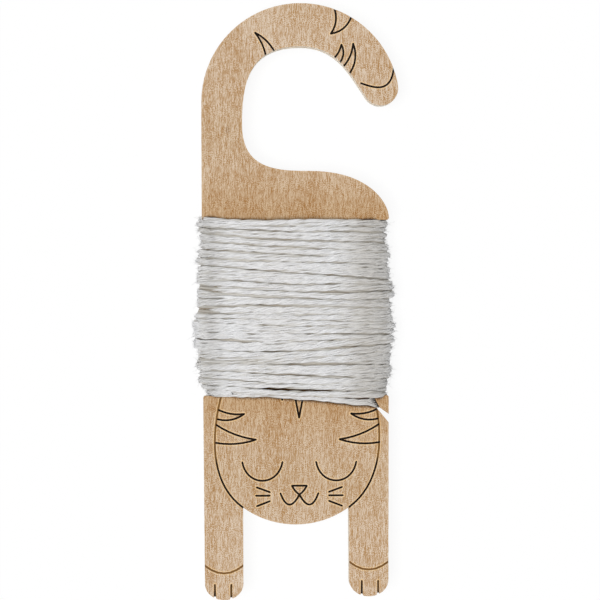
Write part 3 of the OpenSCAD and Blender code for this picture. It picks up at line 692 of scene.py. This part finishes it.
def tube_faces(count, sides, lengths):
    """The faces of a tube's wall and of its two tips, and the same faces' coordinates.

    The vertices are count rings of so many sides, then the two tips. Coordinates are the part of the
    way round and the length along."""
    i, k = np.indices((count - 1, sides)).reshape(2, -1)
    # The corners of a face of the wall, as steps round and steps along
    corners = ((0, 0), (1, 0), (1, 1), (0, 1))
    wall = np.stack([(i + on) * sides + (k + turn) % sides for turn, on in corners], 1)
    wall_uv = np.stack([np.stack([(k + turn) / sides, lengths[i + on]], 1) for turn, on in corners], 1)
    k = np.arange(sides)
    following, last_ring, first_tip = (k + 1) % sides, (count - 1) * sides, count * sides
    caps = np.concatenate([
        np.stack([following, k, np.full(sides, first_tip)], 1),
        np.stack([last_ring + k, last_ring + following, np.full(sides, first_tip + 1)], 1)])
    cap_uv = np.concatenate([
        np.stack([np.stack([(k + turn) / sides, np.full(sides, along)], 1) for turn in (1, 0, 0)], 1)
        for along in (lengths[0], lengths[-1])])
    return (wall, caps), (wall_uv, cap_uv)


def tube(points, out, radii, sides, lengths, top):
    """A closed tube about the points: vertices, faces, coordinates, and depths below top's points."""
    ahead = unit(np.gradient(points, axis=0))
    up = unit(out - np.sum(out * ahead, 1, keepdims=True) * ahead)
    side = np.cross(ahead, up)
    angles = (np.arange(sides) * math.tau / sides)[None, :, None]
    spokes = up[:, None] * np.cos(angles) + side[:, None] * np.sin(angles)
    rings = points[:, None] + radii[:, None, None] * spokes
    tips = [points[0] - ahead[0] * radii[0] * BLUNT, points[-1] + ahead[-1] * radii[-1] * BLUNT]
    vertices = np.concatenate([rings.reshape(-1, 3), tips])
    depths = np.einsum("ijk,ik->ij", top[:, None] - rings, up).ravel()
    depths = np.concatenate([depths, depths[[0, -1]]])
    return vertices, *tube_faces(len(points), sides, lengths), depths


def mesh_piece(name, tubes, material):
    """One object from several tubes, with their coordinates as a UV map and their depths."""
    vertices, faces, uvs, depths, start = [], [], [], [], 0
    for points, walls_and_caps, coordinates, depths_below in tubes:
        vertices.append(points)
        depths.append(depths_below)
        for some in walls_and_caps:
            faces += (some + start).tolist()
        uvs += [some.reshape(-1, 2) for some in coordinates]
        start += len(points)
    vertices = np.concatenate(vertices)
    vertices[:, 2] = np.maximum(vertices[:, 2], LEAST_Z)
    mesh = bpy.data.meshes.new(name)
    mesh.from_pydata((vertices * MM).tolist(), [], faces)
    layer = mesh.uv_layers.new(name="strand")
    layer.data.foreach_set("uv", np.concatenate(uvs).astype(np.float32).ravel())
    depth = mesh.attributes.new("depth", "FLOAT", "POINT")
    depth.data.foreach_set("value", np.concatenate(depths).astype(np.float32))
    mesh.shade_smooth()
    mesh.materials.append(material)
    piece = bpy.data.objects.new(name, mesh)
    bpy.context.scene.collection.objects.link(piece)
    return piece


def settle(piece, *nodes):
    """Puts a floss piece on the bobbin, with the CAD nodes that it stands for."""
    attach(piece, BODY)
    if nodes:
        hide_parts(*nodes)


OUTER_SEED = 4


def outer_floss(material):
    """The six strands of the outer layer and of the end, each one piece from end to end."""
    rng = np.random.default_rng(OUTER_SEED)
    thread = outer_thread(rng)
    strands = []
    for index in range(STRANDS):
        points = strand_points(thread, index, STRANDS, rng, TWIST_PITCH)
        size = thread.strand_r / STRAND_R * (1 + wander(rng, thread.run, *SIZE_WAVE))
        angle = thread.run * math.tau / PLY_PITCH + wander(rng, thread.run, *PLY_WAVE)
        apart = thread.across * np.cos(angle)[:, None] + thread.out * np.sin(angle)[:, None]
        plies = [tube(points + side * PLY_APART * size[:, None] * apart, thread.out, PLY_R * size,
                      PLY_SIDES, thread.run + FIBRES_APART * fibres, thread.top)
                 for side, fibres in ((1, index), (-1, index + 0.5))]
        settle(mesh_piece(f"floss_strand_{index + 1}", plies, material), "floss_turns", "floss_end")
        strands.append(points)
    return thread, strands


# ---- The layers below ----
# Each as (depth below the outer surface, turns, lowest height), and their half widths by height
UNDER_LAYERS = ((0.4, 27, -10.9), (1.1, 23, -10.9), (1.8, 22, -10.9))
UNDER_REACH = ((-12, 12.6), (-9, 13.1), (-5, 13.5), (-2, 13.4), (3, 13.1), (11, 12.6))
# How far below the upper shoulder they start, and how far below the layer's top their middle lies
UNDER_START, UNDER_MIDDLE = 0.45, 0.35
UNDER_HALF_WIDE, UNDER_HALF_HIGH, UNDER_STRAND_R = 0.5, 0.34, 0.24
UNDER_STRANDS, UNDER_SIDES, UNDER_PITCH = 3, 6, 26
UNDER_STEP = 0.8
UNDER_WAVE = (0.06, 0.9)
UNDER_SEED = 9


def under_floss(material):
    """The layers of floss under the outer one, a little coarser."""
    rng = np.random.default_rng(UNDER_SEED)
    start = WAIST_HIGH - UNDER_START
    per_loop = round(LOOP_LENGTH / UNDER_STEP)
    tubes = []
    for depth, turns, lowest in UNDER_LAYERS:
        run = np.arange(turns * per_loop) / per_loop
        heights = start + (lowest - start) * run / turns + wander(rng, run, *UNDER_WAVE)
        surface, out = surface_at(run, heights, read_off(UNDER_REACH, heights))
        points = surface - out * (depth + UNDER_MIDDLE)
        size = np.ones(len(run))
        thread = Thread(points, out, UNDER_HALF_WIDE * size, UNDER_HALF_HIGH * size,
                        UNDER_STRAND_R * size, depth * size, 0 * size)
        for index in range(UNDER_STRANDS):
            line = strand_points(thread, index, UNDER_STRANDS, rng, UNDER_PITCH)
            lengths = thread.run + FIBRES_APART * (STRANDS + index)
            tubes.append(tube(line, out, thread.strand_r, UNDER_SIDES, lengths, thread.top))
    settle(mesh_piece("floss_under", tubes, material), "floss_core")


# ---- Stray fibres ----
# How many, and the share at the bends, where the floss has rubbed and its surface looks sideways by
# more than the third
FUZZ, FUZZ_AT_BENDS, SIDEWAYS = 5000, 0.7, 0.35
# At the bends and elsewhere: a fibre's least and greatest length, how much its way strays, its
# greatest rise, and its radius at the root, mm
BEND_FIBRE = ((0.15, 0.55), 0.7, 0.12, 0.026)
FLAT_FIBRE = ((0.3, 1.3), 0.25, 0.2, 0.016)
# For all of them: radius at the tip, least rise and how steeply it grows, where the root lies in its
# strand, as a share of the radius, and the swing of their curl
TIP_R = 0.006
LEAST_RISE, RISE_POWER = 0.02, 1.5
ROOT_AT = 0.9
CURL = 0.05
FIBRE_POINTS, FIBRE_SIDES = 6, 3
# None grow on so many points at a strand's start, away from the bends, and at its end
BARE_START, BARE_END = 10, 30
FUZZ_SEED = 21


def fuzz(material, thread, strands):
    """Stray fibres that stand off the strands."""
    rng = np.random.default_rng(FUZZ_SEED)
    out, ahead = thread.out, thread.ahead
    at_bends = np.flatnonzero(abs(out[:-BARE_END, 0]) > SIDEWAYS)
    t = np.linspace(0, 1, FIBRE_POINTS)[:, None]
    tubes = []
    for _ in range(FUZZ):
        points = strands[rng.integers(len(strands))]
        bend = rng.random() < FUZZ_AT_BENDS
        i = rng.choice(at_bends) if bend else rng.integers(BARE_START, len(points) - BARE_END)
        lengths, stray, rise, root_r = BEND_FIBRE if bend else FLAT_FIBRE
        length = rng.uniform(*lengths)
        way = ahead[i] * rng.choice((-1, 1)) + rng.normal(0, stray, 3)
        rise = rng.uniform(LEAST_RISE, rise)
        line = (points[i] + out[i] * (STRAND_R * ROOT_AT + rise * t ** RISE_POWER)
                + way * length * t + rng.normal(0, CURL, 3) * np.sin(t * math.pi))
        tubes.append(tube(line, np.tile(out[i], (FIBRE_POINTS, 1)),
                          np.linspace(root_r, TIP_R, FIBRE_POINTS), FIBRE_SIDES,
                          np.linspace(0, length, FIBRE_POINTS), line))
    settle(mesh_piece("floss_fuzz", tubes, material))


# ---- Light and floor ----
WHITE = (1, 1, 1, 1)
WORLD_LEVEL = 0.2
# The soft lamp: its strength, its tilt about x and y and how wide it looks, both in degrees
LAMP_LEVEL = 2.68
LAMP_TILT = (5, -12)
LAMP_SPREAD = 26
# The floor is a square of this half size, in metres. To the camera it shows as white by the first
# share, and otherwise as paper of the second tone; the third is how much light it throws back up
FLOOR_HALF = 3
FLOOR_WHITE, FLOOR_PAPER, FLOOR_BOUNCE = 0.91, 0.97, 0.97


def make_world():
    """Even light. The camera and clear or glossy surfaces see the world as plain white."""
    world = bpy.data.worlds.new("studio")
    bpy.context.scene.world = world
    nodes = Nodes(world)
    light = nodes.add("Background", {"Color": WHITE, "Strength": WORLD_LEVEL}).outputs[0]
    path = nodes.add("LightPath", {}).outputs
    seen = nodes.math("MAXIMUM", path["Is Camera Ray"],
                      nodes.math("MAXIMUM", path["Is Glossy Ray"], path["Is Transmission Ray"]))
    white = nodes.add("Background", {"Color": WHITE, "Strength": 1.0}).outputs[0]
    mixed = nodes.add("MixShader", {0: seen, 1: light, 2: white}).outputs[0]
    nodes.add("OutputWorld", {"Surface": mixed})


def make_lamp():
    """One wide, soft lamp from above."""
    lamp = bpy.data.lights.new("softbox", "SUN")
    lamp.energy = LAMP_LEVEL
    lamp.angle = math.radians(LAMP_SPREAD)
    softbox = bpy.data.objects.new("softbox", lamp)
    softbox.rotation_euler = (math.radians(LAMP_TILT[0]), math.radians(LAMP_TILT[1]), 0)
    bpy.context.scene.collection.objects.link(softbox)


def make_floor():
    """A white floor that keeps the object's soft shadow."""
    nodes = Nodes(material := bpy.data.materials.new("floor"))
    camera = nodes.add("LightPath", {}).outputs["Is Camera Ray"]
    tone = nodes.mix(camera, [FLOOR_BOUNCE] * 3 + [1], [FLOOR_PAPER] * 3 + [1])
    paper = nodes.add("BsdfDiffuse", {"Color": tone}).outputs[0]
    white = nodes.add("Emission", {"Color": WHITE, "Strength": 1.0}).outputs[0]
    seen = nodes.times(camera, FLOOR_WHITE)
    mixed = nodes.add("MixShader", {0: seen, 1: paper, 2: white}).outputs[0]
    nodes.add("OutputMaterial", {"Surface": mixed})
    mesh = bpy.data.meshes.new("floor")
    corners = ((-1, -1), (1, -1), (1, 1), (-1, 1))
    mesh.from_pydata([(FLOOR_HALF * x, FLOOR_HALF * y, 0) for x, y in corners], [], [(0, 1, 2, 3)])
    mesh.materials.append(material)
    floor = bpy.data.objects.new("floor", mesh)
    bpy.context.scene.collection.objects.link(floor)


def finish_veneers():
    """Birch on the three veneers; the middle one runs across the others."""
    finishes = {
        "front_veneer": birch("birch_front", WALL_TONES["front"], engraved=True),
        "core_veneer": birch("birch_core", WALL_TONES["core"], grain="x"),
        "back_veneer": birch("birch_back", WALL_TONES["back"]),
    }
    for name, material in finishes.items():
        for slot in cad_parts[name].material_slots:
            slot.material = material


bpy.context.scene.view_settings.view_transform = "Standard"
make_camera()
make_world()
make_lamp()
make_floor()
finish_veneers()
white_floss = cotton("floss")
outer, outer_strands = outer_floss(white_floss)
under_floss(white_floss)
fuzz(white_floss, outer, outer_strands)
